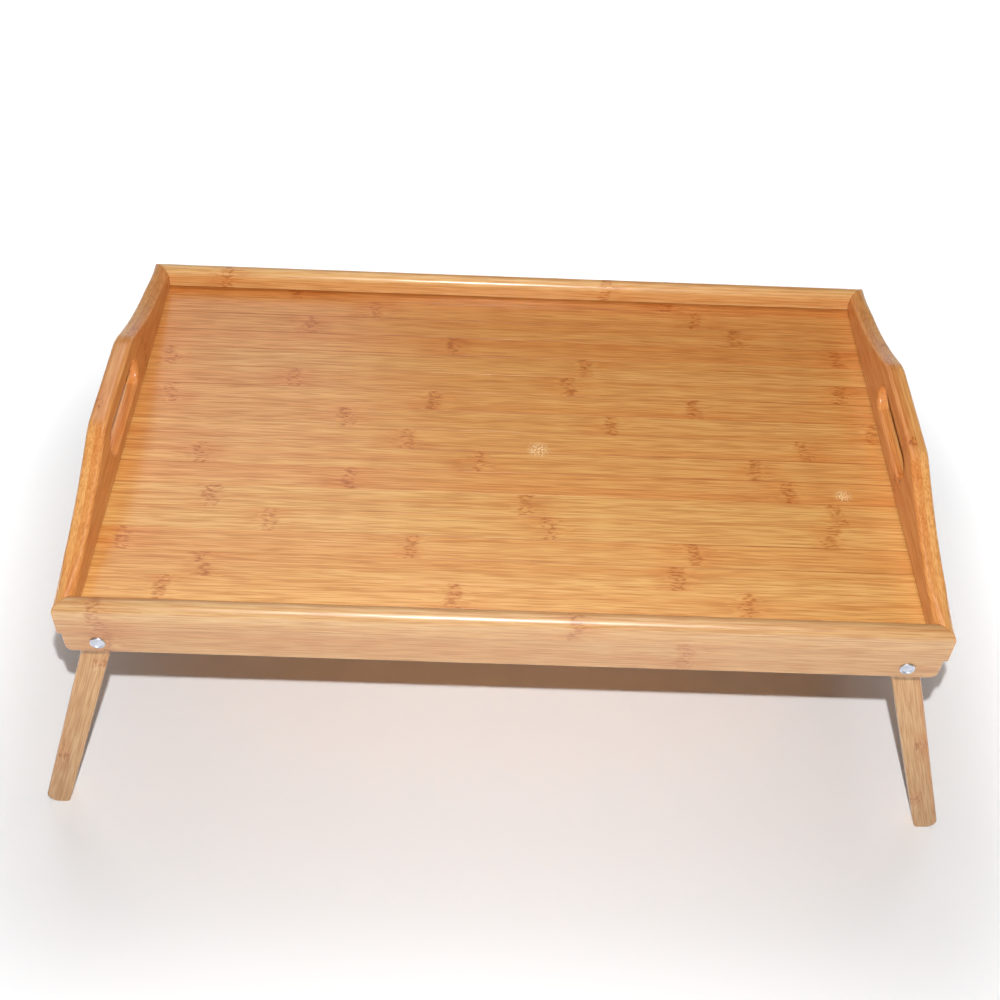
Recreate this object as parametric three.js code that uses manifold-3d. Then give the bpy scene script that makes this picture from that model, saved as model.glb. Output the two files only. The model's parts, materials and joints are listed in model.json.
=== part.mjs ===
// Folding tray table: a shallow bamboo tray that stands on two leg frames, which fold in
// flat between its rails.
// Millimetres, +Z up. The origin is on the floor under the middle of the tray. X runs along
// the tray, -Y is its front, and the legs are open, as the table stands in use.

import * as THREE from 'three';
import { mergeVertices } from 'three/addons/utils/BufferGeometryUtils.js';
import Module from 'manifold-3d';

const wasm = await Module();
wasm.setup();

// ---- Driving dimensions --------------------------------------------------------------

const TRAY_LENGTH = 500;
const TRAY_DEPTH = 313;
const RIM_Z = 221.6;            // top of the front and back rails
const BOARD = 11.5;             // thickness of rails and side boards
const EDGE_R = 4;               // rounding along the top edges of the boards

const RAIL_HEIGHT = 38.7;
const RAIL_FOOT_R = 1.2;        // rounding along the rail's bottom edges
const RAIL_END_SETBACK = 2;     // the rail's ends step in under the side boards
const RAIL_CORNER_R = 5;

const SIDE_HEIGHT = 23;         // side board at its lowest, beside the corners
const HANDLE_RISE = 27;         // the handle stands this much above the rim
const HANDLE_HALF = 40;         // half the handle's level stretch
const HANDLE_BLEND = 4;         // rounding where the level stretch starts to fall
const SWEEP_POWER = 1.9;        // how hollow the fall from handle to corner is

const SLOT_HALF = 39;
const SLOT_R = 9;
const SLOT_ABOVE_RIM = 5.5;     // slot's centre line

const PANEL = 4.6;
const PANEL_DROP = 13.7;        // rim to the panel's top
const PANEL_IN_GROOVE = 5;

const PIVOT_X = 228.4;
const PIVOT_ABOVE_RAIL_FOOT = 8.85;
const SPLAY = THREE.MathUtils.degToRad(18);

const LEG_TOP_HALF = 8.3;       // half the leg's width at the pivot
const LEG_FOOT_HALF = 7.65;     // half its width at the floor
const LEG_THICKNESS = 12;
const LEG_EDGE_R = 1.2;
const FOOT_OUTER_R = 7;
const FOOT_INNER_R = 3;
const STOP_INNER = 2.4;         // flat on the leg's top, measured from above the pivot
const STOP_OUTER = 3.8;

const CROSSBAR_DOWN_LEG = 62;   // pivot to crossbar, along the leg
const CROSSBAR_R = 6;
const TENON_R = 4;
const TENON_LENGTH = 8;

const RIVET_SHANK_R = 3;
const RIVET_HEAD_R = 4.6;
const RIVET_HEAD = 1.2;
const RIVET_HEAD_EDGE = 0.4;    // width of the chamfers on both sides of its rim
const RIVET_HEAD_RIM = 1.1;     // the rim's width
const RIVET_HEAD_DISH = 0.3;    // how far the head's middle lies below its rim
const RIVET_HEAD_GAP = 0.1;     // head to board
const RIVET_HOLLOW_R = 2;       // the tubular end, which is rolled over its washer
const RIVET_HOLLOW = 4.2;
const RIVET_CLINCH_R = 4.4;
const RIVET_CLINCH = 1.2;
const RIVET_ROLL = 0.6;         // the roll's crown stands this much proud of its edges
const WASHER = 0.8;
const SPACER_R = 7;
const INNER_WASHER_R = 6;

const PIN_R = 0.8;
const PIN_LENGTH = 18;
const PIN_POINT = 2;
const PIN_BELOW_FACE = 1.2;
const PIN_BELOW_RIM = 6.6;
const PIN_ABOVE_SIDE_FOOT = 2.2;

const GAP = 0.3;                // between pieces that touch or run on each other
const BORE_GAP = 0.3;
const ROUND_SIDES = 20;         // facets of bores, washers, rivets and crossbars
const PIN_SIDES = 12;
const CURVE_STEPS = 8;
const CORNER_STEPS = 6;
const SWEEP_STEPS = 10;
const BOARD_EDGE_STEPS = 3;     // facets of the boards' rounded edges, and of the legs'
const LEG_EDGE_STEPS = 2;

// ---- Places worked out from them -----------------------------------------------------

const HALF_X = TRAY_LENGTH / 2;
const HALF_Y = TRAY_DEPTH / 2;
const INNER_X = HALF_X - BOARD;
const INNER_Y = HALF_Y - BOARD;
const RAIL_FOOT_Z = RIM_Z - RAIL_HEIGHT;
const SIDE_FOOT_Z = RIM_Z - SIDE_HEIGHT;
const PANEL_TOP_Z = RIM_Z - PANEL_DROP;
const PANEL_FOOT_Z = PANEL_TOP_Z - PANEL;
const PIVOT_Z = RAIL_FOOT_Z + PIVOT_ABOVE_RAIL_FOOT;
const LEG_OUTER_Y = INNER_Y - WASHER - 2 * GAP;
const LEG_INNER_Y = LEG_OUTER_Y - LEG_THICKNESS;
const STOP_ABOVE_PIVOT = PANEL_FOOT_Z - GAP - PIVOT_Z;
const PIN_X = HALF_X - BOARD / 2;
const PIN_HEIGHTS = { upper: RIM_Z - PIN_BELOW_RIM, lower: SIDE_FOOT_Z + PIN_ABOVE_SIDE_FOOT };
const SKY = 400;                // above everything, for cutting solids
const BEYOND = 1;               // how far cutting solids run past a face

const SIDES = { left: -1, right: 1 };
const ENDS = { front: -1, back: 1 };

// ---- Materials -----------------------------------------------------------------------

const panelBamboo = new THREE.MeshStandardMaterial({ color: 0xd79a5b, roughness: 0.42, metalness: 0 });
const frameBamboo = new THREE.MeshStandardMaterial({ color: 0xd8a369, roughness: 0.38, metalness: 0 });
const sideBamboo = new THREE.MeshStandardMaterial({ color: 0xc78345, roughness: 0.4, metalness: 0 });
const legBamboo = new THREE.MeshStandardMaterial({ color: 0xd0a070, roughness: 0.45, metalness: 0 });
const rivetAluminium = new THREE.MeshStandardMaterial({ color: 0xb9bcc6, roughness: 0.35, metalness: 1 });
const washerSteel = new THREE.MeshStandardMaterial({ color: 0x9a9ca0, roughness: 0.4, metalness: 1 });
const pinSteel = new THREE.MeshStandardMaterial({ color: 0x86878a, roughness: 0.45, metalness: 1 });

// ---- Solids --------------------------------------------------------------------------

function solid(geometry) {
  const bare = geometry.clone();
  bare.deleteAttribute('normal');
  bare.deleteAttribute('uv');
  const merged = mergeVertices(bare, 1e-4);
  return new wasm.Manifold(new wasm.Mesh({
    numProp: 3,
    vertProperties: new Float32Array(merged.attributes.position.array),
    triVerts: new Uint32Array(merged.index.array),
  }));
}

function geometryOf(manifold) {
  const { vertProperties, triVerts } = manifold.getMesh();
  const geometry = new THREE.BufferGeometry();
  geometry.setAttribute('position', new THREE.BufferAttribute(vertProperties, 3));
  geometry.setIndex(new THREE.BufferAttribute(triVerts, 1));
  return geometry;
}

function mesh(name, geometry, material) {
  const made = new THREE.Mesh(geometry, material);
  made.name = name;
  return made;
}

// A shape drawn in (x, y), made into a prism between two heights.
function prismAlongZ(shape, low, high) {
  const geometry = new THREE.ExtrudeGeometry(shape, { depth: high - low, bevelEnabled: false });
  geometry.translate(0, 0, low);
  return geometry;
}

// A shape made into a bar of some length from height 0. An edge radius rounds every edge of
// the bar's two faces and of the holes through them.
function roundedPrism(shape, length, edgeRadius, edgeSteps) {
  const geometry = new THREE.ExtrudeGeometry(shape, {
    depth: length - 2 * edgeRadius,
    curveSegments: CURVE_STEPS,
    bevelEnabled: edgeRadius > 0,
    bevelThickness: edgeRadius,
    bevelSize: edgeRadius,
    bevelOffset: -edgeRadius,
    bevelSegments: edgeSteps,
  });
  geometry.translate(0, 0, edgeRadius);
  return geometry;
}

// A shape drawn in (y, z), made into a bar along X.
function prismAlongX(shape, low, high, edgeRadius = 0) {
  const geometry = roundedPrism(shape, high - low, edgeRadius, BOARD_EDGE_STEPS);
  geometry.translate(0, 0, low);
  const yzToStanding = new THREE.Matrix4().set(0, 0, 1, 0, 1, 0, 0, 0, 0, 1, 0, 0, 0, 0, 0, 1);
  geometry.applyMatrix4(yzToStanding);
  return geometry;
}

// A shape drawn in (x, z), made into a bar along Y.
function prismAlongY(shape, low, high, edgeRadius = 0) {
  const geometry = roundedPrism(shape, high - low, edgeRadius, LEG_EDGE_STEPS);
  geometry.translate(0, 0, -high);
  geometry.rotateX(Math.PI / 2);
  return geometry;
}

function boxBetween(low, high) {
  const geometry = new THREE.BoxGeometry(high[0] - low[0], high[1] - low[1], high[2] - low[2]);
  geometry.translate((low[0] + high[0]) / 2, (low[1] + high[1]) / 2, (low[2] + high[2]) / 2);
  return geometry;
}

// A cylinder along Y through (x, z), between two places on Y.
function cylinderAlongY(radius, x, z, lowY, highY, sides = ROUND_SIDES) {
  const geometry = new THREE.CylinderGeometry(radius, radius, highY - lowY, sides);
  geometry.translate(x, (lowY + highY) / 2, z);
  return geometry;
}

// A body turned about the Y axis from a profile of [radius, y] pairs.
function turned(profile, sides = ROUND_SIDES) {
  return new THREE.LatheGeometry(profile.map(([radius, y]) => new THREE.Vector2(radius, y)), sides);
}

// Points along an arc about a centre, from one direction to another, by the shorter way.
function arcPoints(centre, radius, from, to, steps) {
  const turn = THREE.MathUtils.euclideanModulo(to - from + Math.PI, 2 * Math.PI) - Math.PI;
  const points = [];
  for (let i = 0; i <= steps; i += 1) {
    const angle = from + turn * (i / steps);
    points.push(new THREE.Vector2(
      centre.x + radius * Math.cos(angle),
      centre.y + radius * Math.sin(angle),
    ));
  }
  return points;
}

// The arc that rounds a corner and touches the lines to both its neighbours.
function cornerPoints(before, corner, after, radius, steps = CORNER_STEPS) {
  const back = before.clone().sub(corner).normalize();
  const on = after.clone().sub(corner).normalize();
  const halfAngle = Math.acos(back.dot(on)) / 2;
  const bisector = back.clone().add(on).normalize();
  const centre = corner.clone().addScaledVector(bisector, radius / Math.sin(halfAngle));
  const start = corner.clone().addScaledVector(back, radius / Math.tan(halfAngle)).sub(centre);
  const end = corner.clone().addScaledVector(on, radius / Math.tan(halfAngle)).sub(centre);
  return arcPoints(centre, radius, start.angle(), end.angle(), steps);
}

// A polygon whose corners are [x, y, radius], where a radius of 0 stays sharp.
function roundedPolygon(corners) {
  const points = corners.map(([x, y]) => new THREE.Vector2(x, y));
  const outline = points.flatMap((point, i) => {
    const radius = corners[i][2];
    const next = points[(i + 1) % points.length];
    return radius > 0 ? cornerPoints(points.at(i - 1), point, next, radius) : [point];
  });
  return new THREE.Shape(outline);
}

// ---- Tray boards ---------------------------------------------------------------------

// Room for the panel: the panel itself with a gap all round. It cuts the boards' grooves.
function grooveCutter() {
  const reachX = INNER_X + PANEL_IN_GROOVE + GAP;
  const reachY = INNER_Y + PANEL_IN_GROOVE + GAP;
  return solid(boxBetween(
    [-reachX, -reachY, PANEL_FOOT_Z - GAP],
    [reachX, reachY, PANEL_TOP_Z + GAP],
  ));
}

// Holes for the pin nails, blind at both ends and shared by rail and side board.
function pinHoles(end) {
  const outer = HALF_Y - PIN_BELOW_FACE + GAP;
  const inner = HALF_Y - PIN_BELOW_FACE - PIN_LENGTH - GAP;
  const holes = [];
  for (const side of Object.values(SIDES)) {
    for (const z of Object.values(PIN_HEIGHTS)) {
      const [low, high] = [end * outer, end * inner].sort((a, b) => a - b);
      holes.push(solid(cylinderAlongY(PIN_R + GAP, side * PIN_X, z, low, high, PIN_SIDES)));
    }
  }
  return wasm.Manifold.union(holes);
}

function railGeometry(end) {
  const section = roundedPolygon([
    [-HALF_Y, RAIL_FOOT_Z, RAIL_FOOT_R],
    [-INNER_Y, RAIL_FOOT_Z, RAIL_FOOT_R],
    [-INNER_Y, RIM_Z, EDGE_R],
    [-HALF_Y, RIM_Z, EDGE_R],
  ]);
  const bar = solid(prismAlongX(section, -HALF_X, HALF_X));

  // Above the side boards' undersides the ends are mitred. Below them they are square,
  // stepped in and rounded at the bottom corner.
  const ledgeZ = SIDE_FOOT_Z - GAP;
  const mitre = HALF_X - HALF_Y - GAP / Math.SQRT2;
  const outerY = -HALF_Y - BEYOND;
  const innerY = -INNER_Y + BEYOND;
  const upper = solid(prismAlongZ(new THREE.Shape([
    new THREE.Vector2(-mitre + outerY, outerY),
    new THREE.Vector2(mitre - outerY, outerY),
    new THREE.Vector2(mitre - innerY, innerY),
    new THREE.Vector2(-mitre + innerY, innerY),
  ]), ledgeZ, SKY));
  const lowerX = HALF_X - RAIL_END_SETBACK;
  const lower = solid(prismAlongY(roundedPolygon([
    [-lowerX, RAIL_FOOT_Z, RAIL_CORNER_R],
    [lowerX, RAIL_FOOT_Z, RAIL_CORNER_R],
    [lowerX, ledgeZ, 0],
    [-lowerX, ledgeZ, 0],
  ]), outerY, innerY));

  const rivetHoles = wasm.Manifold.union(Object.values(SIDES).map((side) => solid(
    cylinderAlongY(RIVET_SHANK_R + BORE_GAP, side * PIVOT_X, PIVOT_Z, outerY, innerY),
  )));
  const front = bar.intersect(upper.add(lower))
    .subtract(grooveCutter())
    .subtract(pinHoles(ENDS.front))
    .subtract(rivetHoles);
  return geometryOf(end === ENDS.front ? front : front.rotate([0, 0, 180]));
}

// Height of the side board's top above the rim, at a distance from the tray's middle line.
function sweepRise(y) {
  const fall = Math.max(0, (HALF_Y - y) / (HALF_Y - HANDLE_HALF));
  return HANDLE_RISE * fall ** SWEEP_POWER;
}

function sideOutline() {
  const below = SIDE_FOOT_Z - 2 * EDGE_R;
  const past = HALF_Y + 2 * EDGE_R;
  const top = RIM_Z + HANDLE_RISE;
  const sweepStart = HANDLE_HALF + HANDLE_BLEND;
  const sweep = [];
  for (let i = 0; i <= SWEEP_STEPS; i += 1) {
    const y = HALF_Y + (sweepStart - HALF_Y) * (i / SWEEP_STEPS);
    sweep.push([y, RIM_Z + sweepRise(y)]);
  }
  const shape = new THREE.Shape();
  shape.moveTo(-past, below);
  shape.lineTo(past, below);
  shape.lineTo(past, RIM_Z);
  for (const [y, z] of sweep) shape.lineTo(y, z);
  shape.quadraticCurveTo(HANDLE_HALF, top, HANDLE_HALF - HANDLE_BLEND, top);
  shape.lineTo(HANDLE_BLEND - HANDLE_HALF, top);
  shape.quadraticCurveTo(-HANDLE_HALF, top, -sweepStart, RIM_Z + sweepRise(sweepStart));
  for (const [y, z] of sweep.reverse().slice(1)) shape.lineTo(-y, z);
  shape.lineTo(-past, RIM_Z);
  shape.closePath();

  const slotZ = RIM_Z + SLOT_ABOVE_RIM;
  const slot = new THREE.Path();
  slot.absarc(SLOT_HALF - SLOT_R, slotZ, SLOT_R, -Math.PI / 2, Math.PI / 2, false);
  slot.absarc(SLOT_R - SLOT_HALF, slotZ, SLOT_R, Math.PI / 2, 1.5 * Math.PI, false);
  slot.closePath();
  shape.holes.push(slot);
  return shape;
}

function sideBoardGeometry(side) {
  const board = solid(prismAlongX(sideOutline(), INNER_X, HALF_X, EDGE_R));
  const mitre = HALF_X - HALF_Y + GAP / Math.SQRT2;
  const outerX = HALF_X + BEYOND;
  const innerX = INNER_X - BEYOND;
  const plan = solid(prismAlongZ(new THREE.Shape([
    new THREE.Vector2(innerX, mitre - innerX),
    new THREE.Vector2(outerX, mitre - outerX),
    new THREE.Vector2(outerX, outerX - mitre),
    new THREE.Vector2(innerX, innerX - mitre),
  ]), SIDE_FOOT_Z, SKY));
  const right = board.intersect(plan)
    .subtract(grooveCutter())
    .subtract(pinHoles(ENDS.front))
    .subtract(pinHoles(ENDS.back));
  return geometryOf(side === SIDES.right ? right : right.rotate([0, 0, 180]));
}

function panelGeometry() {
  const reachX = INNER_X + PANEL_IN_GROOVE;
  const reachY = INNER_Y + PANEL_IN_GROOVE;
  return boxBetween([-reachX, -reachY, PANEL_FOOT_Z], [reachX, reachY, PANEL_TOP_Z]);
}

// ---- Legs ----------------------------------------------------------------------------

// The right legs' outline in the leg's own frame: the pivot is the origin, +Y points up the
// leg and +X away from the tray. The foot is cut level with the floor. The top has a flat
// that lies under the panel when the leg is open, and is round about the pivot beside it.
function legOutline() {
  const toLeg = ([across, up]) => new THREE.Vector2(
    across * Math.cos(SPLAY) + up * Math.sin(SPLAY),
    up * Math.cos(SPLAY) - across * Math.sin(SPLAY),
  );
  const floorAt = (across) => -(PIVOT_Z + across * Math.sin(SPLAY)) / Math.cos(SPLAY);
  const stopInner = toLeg([-STOP_INNER, STOP_ABOVE_PIVOT]);
  const stopOuter = toLeg([STOP_OUTER, STOP_ABOVE_PIVOT]);
  const innerSide = new THREE.Vector2(-LEG_TOP_HALF, Math.sqrt(stopInner.lengthSq() - LEG_TOP_HALF ** 2));
  const outerSide = new THREE.Vector2(LEG_TOP_HALF, Math.sqrt(stopOuter.lengthSq() - LEG_TOP_HALF ** 2));

  const innerFoot = new THREE.Vector2(-LEG_FOOT_HALF, floorAt(-LEG_FOOT_HALF));
  const outerFoot = new THREE.Vector2(LEG_FOOT_HALF, floorAt(LEG_FOOT_HALF));

  const pivot = new THREE.Vector2(0, 0);
  return [
    ...arcPoints(pivot, stopOuter.length(), outerSide.angle(), stopOuter.angle(), 1),
    ...arcPoints(pivot, stopInner.length(), stopInner.angle(), innerSide.angle(), 4),
    ...cornerPoints(innerSide, innerFoot, outerFoot, FOOT_INNER_R),
    ...cornerPoints(innerFoot, outerFoot, outerSide, FOOT_OUTER_R),
  ];
}

function legGeometry(side, end) {
  const outline = new THREE.Shape(legOutline().map((p) => new THREE.Vector2(side * p.x, p.y)));
  const [low, high] = [end * LEG_INNER_Y, end * LEG_OUTER_Y].sort((a, b) => a - b);
  const bore = solid(cylinderAlongY(RIVET_SHANK_R + BORE_GAP, 0, 0, low - BEYOND, high + BEYOND));
  const [socketLow, socketHigh] = [
    end * (LEG_INNER_Y - BEYOND),
    end * (LEG_INNER_Y + TENON_LENGTH + GAP),
  ].sort((a, b) => a - b);
  const socket = solid(cylinderAlongY(TENON_R + GAP, 0, -CROSSBAR_DOWN_LEG, socketLow, socketHigh));
  const leg = solid(prismAlongY(outline, low, high, LEG_EDGE_R));
  return geometryOf(leg.subtract(bore).subtract(socket));
}

function crossbarGeometry() {
  const shoulder = LEG_INNER_Y - GAP;
  const tip = shoulder + TENON_LENGTH;
  const geometry = turned([
    [0, -tip], [TENON_R, -tip], [TENON_R, -shoulder], [CROSSBAR_R, -shoulder],
    [CROSSBAR_R, shoulder], [TENON_R, shoulder], [TENON_R, tip], [0, tip],
  ]);
  geometry.translate(0, 0, -CROSSBAR_DOWN_LEG);
  return geometry;
}

// A leg frame turns about its rivets. Its group stands on the pivot, leaning out by the splay.
function legFrame(sideName) {
  const side = SIDES[sideName];
  const frame = new THREE.Group();
  frame.position.set(side * PIVOT_X, 0, PIVOT_Z);
  frame.rotation.y = -side * SPLAY;
  for (const [endName, end] of Object.entries(ENDS)) {
    frame.add(mesh(`leg_${endName}_${sideName}`, legGeometry(side, end), legBamboo));
  }
  frame.add(mesh(`crossbar_${sideName}`, crossbarGeometry(), legBamboo));
  return frame;
}

// ---- Fasteners -----------------------------------------------------------------------

// All are turned about Y, drawn for the back rail, and placed on a pivot's axis.
function rivetGeometry() {
  const headFoot = HALF_Y + RIVET_HEAD_GAP;
  const headTop = headFoot + RIVET_HEAD;
  const rimInner = RIVET_HEAD_R - RIVET_HEAD_RIM;
  const clinchTop = LEG_INNER_Y - WASHER - 2 * GAP;
  const clinchFoot = clinchTop - RIVET_CLINCH;
  return turned([
    [0, clinchTop + RIVET_HOLLOW],
    [RIVET_HOLLOW_R, clinchTop + RIVET_HOLLOW],
    [RIVET_HOLLOW_R, clinchFoot],
    [(RIVET_HOLLOW_R + RIVET_CLINCH_R) / 2, clinchFoot - RIVET_ROLL],
    [RIVET_CLINCH_R, clinchFoot],
    [RIVET_CLINCH_R, clinchTop],
    [RIVET_SHANK_R, clinchTop],
    [RIVET_SHANK_R, headFoot],
    [RIVET_HEAD_R, headFoot],
    [RIVET_HEAD_R, headTop - RIVET_HEAD_EDGE],
    [RIVET_HEAD_R - RIVET_HEAD_EDGE, headTop],
    [rimInner, headTop],
    [rimInner - RIVET_HEAD_EDGE, headTop - RIVET_HEAD_DISH],
    [0, headTop - RIVET_HEAD_DISH],
  ]);
}

function washerGeometry(radius, low) {
  const bore = RIVET_SHANK_R + BORE_GAP;
  return turned([
    [bore, low], [radius, low], [radius, low + WASHER], [bore, low + WASHER], [bore, low],
  ]);
}

function pinGeometry() {
  const head = HALF_Y - PIN_BELOW_FACE;
  const tip = head - PIN_LENGTH;
  return turned([[0, tip], [PIN_R, tip + PIN_POINT], [PIN_R, head], [0, head]], PIN_SIDES);
}

// Puts a piece drawn for the back rail at its end of the tray.
function placed(made, x, z, end) {
  made.position.set(x, 0, z);
  made.rotation.z = end === ENDS.front ? Math.PI : 0;
  return made;
}

// ---- Assembly ------------------------------------------------------------------------

function buildTray() {
  const tray = new THREE.Group();
  tray.add(mesh('tray_panel', panelGeometry(), panelBamboo));
  for (const [endName, end] of Object.entries(ENDS)) {
    tray.add(mesh(`rail_${endName}`, railGeometry(end), frameBamboo));
  }
  for (const [sideName, side] of Object.entries(SIDES)) {
    tray.add(mesh(`side_board_${sideName}`, sideBoardGeometry(side), sideBamboo));
  }
  return tray;
}

function buildFasteners() {
  const fasteners = new THREE.Group();
  for (const [sideName, side] of Object.entries(SIDES)) {
    for (const [endName, end] of Object.entries(ENDS)) {
      const corner = `${endName}_${sideName}`;
      const onPivot = (made) => fasteners.add(placed(made, side * PIVOT_X, PIVOT_Z, end));
      onPivot(mesh(`pivot_rivet_${corner}`, rivetGeometry(), rivetAluminium));
      onPivot(mesh(`spacer_washer_${corner}`, washerGeometry(SPACER_R, LEG_OUTER_Y + GAP), washerSteel));
      onPivot(mesh(`rivet_washer_${corner}`,
        washerGeometry(INNER_WASHER_R, LEG_INNER_Y - GAP - WASHER), washerSteel));
      for (const [level, z] of Object.entries(PIN_HEIGHTS)) {
        fasteners.add(placed(mesh(`pin_nail_${level}_${corner}`, pinGeometry(), pinSteel),
          side * PIN_X, z, end));
      }
    }
  }
  return fasteners;
}

const table = new THREE.Group();
table.add(buildTray(), buildFasteners(), legFrame('left'), legFrame('right'));

export default table;
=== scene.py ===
"""Folding bamboo tray table: the looks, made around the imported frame.

Metres, +Z up, with the origin on the floor under the middle of the tray. Boards are drawn flat,
turned into place, and then told how their bamboo runs, which the materials read.
"""

import json
import math
from bisect import bisect

import bmesh
import bpy
from mathutils import Matrix, Vector


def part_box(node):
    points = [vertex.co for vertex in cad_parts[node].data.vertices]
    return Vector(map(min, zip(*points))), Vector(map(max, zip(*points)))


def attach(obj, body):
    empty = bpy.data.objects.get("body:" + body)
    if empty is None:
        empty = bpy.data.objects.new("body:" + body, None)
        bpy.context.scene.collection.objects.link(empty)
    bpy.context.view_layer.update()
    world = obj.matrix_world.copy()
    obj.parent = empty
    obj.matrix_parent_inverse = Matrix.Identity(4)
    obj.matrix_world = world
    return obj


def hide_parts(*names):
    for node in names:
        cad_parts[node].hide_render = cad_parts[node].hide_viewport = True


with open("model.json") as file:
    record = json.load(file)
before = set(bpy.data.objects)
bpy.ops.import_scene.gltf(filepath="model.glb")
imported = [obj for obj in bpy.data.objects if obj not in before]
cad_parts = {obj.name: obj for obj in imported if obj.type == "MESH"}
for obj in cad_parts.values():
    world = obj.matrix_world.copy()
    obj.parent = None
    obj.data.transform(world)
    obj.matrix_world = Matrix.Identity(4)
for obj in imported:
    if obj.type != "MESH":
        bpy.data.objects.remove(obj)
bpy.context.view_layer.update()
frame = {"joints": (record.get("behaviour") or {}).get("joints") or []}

MM = 0.001
SIDES = {"left": -1, "right": 1}
ENDS = {"front": -1, "back": 1}
NAIL_LEVELS = ("upper", "lower")

# ---- Sizes that the frame gives --------------------------------------------------------
# The pieces at the back right stand for their mirrors at the other corners.

PANEL_LOW, PANEL_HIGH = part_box("tray_panel")
RAIL_LOW, RAIL_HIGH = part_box("rail_back")
SIDE_LOW, SIDE_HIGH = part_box("side_board_right")
LEG_LOW, LEG_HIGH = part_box("leg_back_right")
RIVET_LOW, RIVET_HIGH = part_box("pivot_rivet_back_right")
SPACER_LOW, SPACER_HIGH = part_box("spacer_washer_back_right")
INNER_WASHER_LOW, INNER_WASHER_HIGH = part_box("rivet_washer_back_right")
NAIL_LOW, NAIL_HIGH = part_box("pin_nail_upper_back_right")
CROSSBAR_TIP_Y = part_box("crossbar_right")[1].y
PIVOT = Vector(frame["joints"][1]["pos_m"])

HALF_X = RAIL_HIGH.x
HALF_Y = RAIL_HIGH.y
INNER_X = SIDE_LOW.x
INNER_Y = RAIL_LOW.y
BOARD = HALF_X - INNER_X
RIM_Z = RAIL_HIGH.z
RAIL_FOOT_Z = RAIL_LOW.z
SIDE_FOOT_Z = SIDE_LOW.z
HANDLE_Z = SIDE_HIGH.z
GAP = 0.3 * MM

# ---- Shapes that the frame's boxes don't give ------------------------------------------

EDGE_R = 5.5 * MM               # rounding along the rails' tops, and where the side boards meet them
SIDE_EDGE_R = 2.4 * MM          # and along the rest of the side boards' tops
SOFT_EDGE_R = 1.2 * MM          # and along the boards' other edges
EDGE_FADE = 24 * MM             # from the one rounding to the other
GROOVE_LIP = 1.0 * MM           # how far the panel's groove opens above the panel
RAIL_END_SETBACK = 2 * MM
RAIL_CORNER_R = 5 * MM
HANDLE_HALF = 40 * MM
HANDLE_BLEND = 7 * MM
SWEEP_POWER = 1.9               # how the side boards' tops curve up to their handles
SLOT_HALF = 39 * MM
SLOT_R = 9 * MM
SLOT_Z = RIM_Z + 5.5 * MM

SPLAY = math.radians(18)
LEG_TOP_HALF = 8.3 * MM
LEG_FOOT_HALF = 7.65 * MM
FOOT_OUTER_R = 7 * MM
FOOT_INNER_R = 3 * MM
STOP_INNER = 2.4 * MM           # the flat on a leg's top, from this far inside its pivot
STOP_OUTER = 3.8 * MM           # to this far outside it
CROSSBAR_DOWN_LEG = 62 * MM
TENON_R = 4 * MM
TENON_LENGTH = 8 * MM
CROSSBAR_R = 6 * MM
CROSSBAR_CHAMFER = 0.5 * MM

SHANK_R = 3 * MM
BORE_R = SHANK_R + GAP
HEAD_R = 4.4 * MM
HEAD_RIM_R = 0.7 * MM           # rounding of the head's rolled rim
HEAD_DISH = 0.5 * MM
HEAD_GAP = 0.1 * MM             # between the head and the rail
HEAD_ARRIS = 0.1 * MM
ROLL_R = 1.2 * MM               # roll of the hollow end over its washer
ROLL_OUT = 0.2 * MM             # how far outside the shank's surface the roll is centred
HOLLOW = 4.2 * MM
WASHER_ARRIS = 0.12 * MM
NAIL_POINT = 2 * MM
NAIL_HEAD = 0.4 * MM
NAIL_NECK = 0.2 * MM            # from the shaft out to the head
NAIL_SHAFT = 0.85               # the shaft's radius, as a share of the head's

SAME_POINT = 1e-7               # points closer than this are one
EDGE_STEPS = 8                  # facets of a rounded edge
CORNER_STEPS = 10
SWEEP_STEPS = 24
ROUND_FACETS = 64
SMOOTH_ANGLE = math.radians(38)

RAIL_JOINT_Z = RAIL_FOOT_Z + 24 * MM    # the glue line along the rails

STRIP = 18.25 * MM              # width of the panel's strips
STRIP_ARRIS = 0.15 * MM
GLUE_LINE = 0.02 * MM           # between the strips


# ---- Mesh building ---------------------------------------------------------------------

def new_piece(name, bm):
    """A mesh object from a finished bmesh."""
    bmesh.ops.remove_doubles(bm, verts=bm.verts, dist=SAME_POINT)
    bmesh.ops.dissolve_degenerate(bm, edges=bm.edges, dist=SAME_POINT)
    bmesh.ops.recalc_face_normals(bm, faces=bm.faces)
    mesh = bpy.data.meshes.new(name)
    bm.to_mesh(mesh)
    bm.free()
    piece = bpy.data.objects.new(name, mesh)
    bpy.context.scene.collection.objects.link(piece)
    return piece


def join_rings(bm, rings, closed=False, around=True):
    """Quads between neighbouring rings of vertices. Closed joins the last ring to the first,
    and around closes each ring on itself."""
    following = rings[1:] + rings[:1] if closed else rings[1:]
    for low, high in zip(rings, following):
        for i in range(0 if around else 1, len(low)):
            bm.faces.new((low[i - 1], low[i], high[i], high[i - 1]))


def inward_ways(points):
    """At each corner, the step into the material that sets both its edges back by one unit."""
    ways = []
    for before, here, after in zip(points[-1:] + points[:-1], points, points[1:] + points[:1]):
        arriving = (here - before).normalized()
        leaving = (after - here).normalized()
        left = Vector((-arriving.y, arriving.x))
        way = Vector((-arriving.y - leaving.y, arriving.x + leaving.x)).normalized()
        ways.append(way / way.dot(left))
    return ways


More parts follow.
